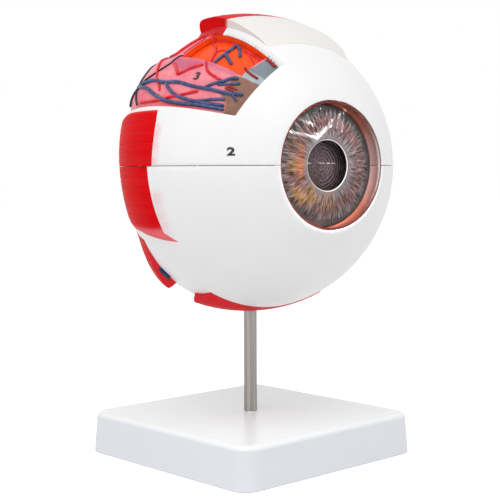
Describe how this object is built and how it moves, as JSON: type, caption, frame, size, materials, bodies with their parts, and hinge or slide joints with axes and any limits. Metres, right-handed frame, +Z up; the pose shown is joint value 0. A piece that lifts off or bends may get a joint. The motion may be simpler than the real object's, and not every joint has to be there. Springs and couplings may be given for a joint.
{
  "type": "eye anatomy model",
  "caption": "Enlarged take-apart human eye with painted muscles, a window on the vessels, clear cornea and iris, turning on a steel rod over a square base.",
  "frame": {"origin": "on the rod's axis, at the underside of the base", "axes": "+Z up along the rod, -Y the way the eye looks, -X the outer (temporal) side of this right eye"},
  "size_m": [0.1459, 0.1572, 0.2238],
  "materials": {
    "base": "cool white glossy moulded plastic",
    "steel": "brushed along the rod",
    "brass": "turned",
    "sclera": "satin white paint on a hard cast",
    "choroid": "hand-painted pink to brown under gloss",
    "retina": "orange paint under gloss",
    "iris": "brown fibrous paint",
    "cornea": "clear",
    "lens": "clear, fine turned rings",
    "ciliary_ring": "dark brown folds",
    "vitreous": "clear",
    "muscle": "red fibrous paint under gloss",
    "nerve": "pale yellow paint",
    "vein": "dark blue paint",
    "artery": "red paint"
  },
  "bodies": {
    "stand": {"base_cover": "base", "base_plate": "base", "base_screw_1": "steel", "base_screw_2": "steel", "base_screw_3": "steel", "base_screw_4": "steel", "support_rod": "steel", "rod_washer": "steel", "rod_nut": "steel"},
    "globe": {"rod_bush": "brass", "sclera_lower": "sclera", "locating_pin_1": "steel", "locating_pin_2": "steel", "locating_pin_3": "steel", "locating_pin_4": "steel", "lateral_rectus_lower": "muscle", "medial_rectus_lower": "muscle", "inferior_rectus": "muscle", "inferior_oblique": "muscle", "optic_nerve_sheath": "nerve", "optic_nerve_core": "nerve"},
    "cornea_dome": {"cornea": "cornea"},
    "inner_lower": {"choroid_lower": "choroid", "retina_lower": "retina", "ciliary_ring_lower": "ciliary_ring", "iris": "iris"},
    "clear_body": {"vitreous_body": "vitreous"},
    "lens_body": {"lens": "lens"},
    "inner_upper": {"choroid_upper": "choroid", "retina_upper": "retina", "ciliary_ring_upper": "ciliary_ring", "vortex_vein": "vein", "forked_vein": "vein", "artery_tree": "artery", "artery_limb": "artery", "artery_branch": "artery", "artery_bend": "artery"},
    "globe_upper": {"sclera_upper": "sclera", "lateral_rectus_upper": "muscle", "medial_rectus_upper": "muscle", "superior_rectus": "muscle", "superior_oblique": "muscle"}
  },
  "joints": [
    {"name": "globe_swivel", "type": "hinge", "parent": "stand", "child": "globe", "pos_m": [0, 0, 0.08], "axis": [0, 0, 1], "continuous": true},
    {"name": "cornea_pull", "type": "slide", "parent": "globe", "child": "cornea_dome", "axis": [0, -1, 0], "range_m": [0, 0.03]},
    {"name": "inner_lower_lift", "type": "slide", "parent": "globe", "child": "inner_lower", "axis": [0, 0, 1], "range_m": [0, 0.07]},
    {"name": "clear_body_lift", "type": "slide", "parent": "inner_lower", "child": "clear_body", "axis": [0, 0, 1], "range_m": [0, 0.068]},
    {"name": "lens_lift", "type": "slide", "parent": "clear_body", "child": "lens_body", "axis": [0, 0, 1], "range_m": [0, 0.035]},
    {"name": "inner_upper_lift", "type": "slide", "parent": "lens_body", "child": "inner_upper", "axis": [0, 0, 1], "range_m": [0, 0.07]},
    {"name": "globe_upper_lift", "type": "slide", "parent": "inner_upper", "child": "globe_upper", "axis": [0, 0, 1], "range_m": [0, 0.075]}
  ]
}
